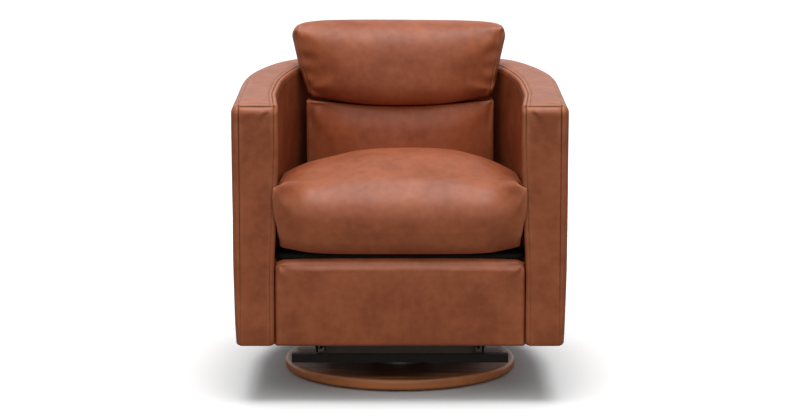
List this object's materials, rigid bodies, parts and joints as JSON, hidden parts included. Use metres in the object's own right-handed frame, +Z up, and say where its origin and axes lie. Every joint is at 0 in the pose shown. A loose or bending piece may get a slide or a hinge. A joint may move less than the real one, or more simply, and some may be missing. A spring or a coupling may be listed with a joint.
{
  "type": "swivel glider chair",
  "caption": "Leather tub chair with a crowned seat cushion and loose back pillows, hung on glide links over a swivel bearing on a round wooden base.",
  "frame": {"origin": "on the floor, at the swivel axis, which is the centre of the chair's footprint", "axes": "+Z up along the swivel axis, -Y toward the front of the seat, +X to the right as the chair is seen from the front"},
  "size_m": [0.755, 0.842, 0.838],
  "materials": {
    "tan_leather": "satin",
    "base_wood": "satin",
    "frame_wood": "matte",
    "black_steel": "satin",
    "grey_steel": "satin",
    "zinc_steel": "satin",
    "nylon": "matte",
    "glide_plastic": "matte",
    "bumper_rubber": "matte",
    "black_cloth": "matte"
  },
  "bodies": {
    "base": {"base_disc": "base_wood", "floor_glides": "glide_plastic", "lower_race": "zinc_steel", "bearing_screws": "zinc_steel", "king_bolt": "zinc_steel", "king_washer": "zinc_steel", "king_nut": "zinc_steel"},
    "bearing": {"ball_cage": "nylon", "bearing_balls": "zinc_steel"},
    "carriage": {"upper_race": "zinc_steel", "carriage_bar_front": "black_steel", "carriage_bar_rear": "black_steel", "carriage_brace_front": "grey_steel", "carriage_brace_rear": "grey_steel", "carriage_bearer_left": "black_steel", "carriage_bearer_right": "black_steel", "carriage_bolts": "zinc_steel", "carriage_side_left": "black_steel", "carriage_side_right": "black_steel", "upper_pivot_pins": "zinc_steel", "stop_bumpers": "bumper_rubber"},
    "front_links": {"link_front_left": "black_steel", "link_front_right": "black_steel", "link_bushes_front": "nylon"},
    "rear_links": {"link_rear_left": "black_steel", "link_rear_right": "black_steel", "link_bushes_rear": "nylon"},
    "chair": {"platform_side_left": "black_steel", "platform_side_right": "black_steel", "platform_bolts": "zinc_steel", "lower_pivot_pins": "zinc_steel", "dust_cover": "black_cloth", "seat_rail_left": "frame_wood", "seat_rail_right": "frame_wood", "seat_rail_front": "frame_wood", "seat_rail_back": "frame_wood", "corner_blocks": "frame_wood", "seat_springs": "zinc_steel", "spring_clips": "zinc_steel", "seat_deck": "black_cloth", "base_rail_left": "frame_wood", "base_rail_right": "frame_wood", "base_rail_back": "frame_wood", "top_rail_left": "frame_wood", "top_rail_right": "frame_wood", "top_rail_back": "frame_wood", "front_post_left": "frame_wood", "front_post_right": "frame_wood", "wall_posts": "frame_wood", "outside_cover": "tan_leather", "inside_pad": "tan_leather", "rim_pad": "tan_leather", "arm_front_left": "tan_leather", "arm_front_right": "tan_leather", "front_rail_pad": "tan_leather", "seat_cushion": "tan_leather", "lumbar_cushion": "tan_leather", "back_pillow": "tan_leather"}
  },
  "joints": [
    {"name": "swivel", "type": "hinge", "parent": "base", "child": "carriage", "pos_m": [0, 0, 0.05], "axis": [0, 0, 1], "continuous": true},
    {"name": "ball_cage_turn", "type": "hinge", "parent": "base", "child": "bearing", "pos_m": [0, 0, 0.04], "axis": [0, 0, 1], "continuous": true},
    {"name": "glide", "type": "hinge", "parent": "carriage", "child": "front_links", "pos_m": [0, -0.13, 0.205], "axis": [1, 0, 0], "range_deg": [-28, 28]},
    {"name": "rear_link_swing", "type": "hinge", "parent": "carriage", "child": "rear_links", "pos_m": [0, 0.13, 0.205], "axis": [1, 0, 0], "range_deg": [-28, 28]},
    {"name": "platform_level", "type": "hinge", "parent": "front_links", "child": "chair", "pos_m": [0, -0.13, 0.085], "axis": [1, 0, 0], "range_deg": [-28, 28]}
  ],
  "couplings": [
    {"joint": "ball_cage_turn", "follows": "swivel", "ratio": 0.5},
    {"joint": "rear_link_swing", "follows": "glide", "ratio": 1},
    {"joint": "platform_level", "follows": "glide", "ratio": -1}
  ]
}
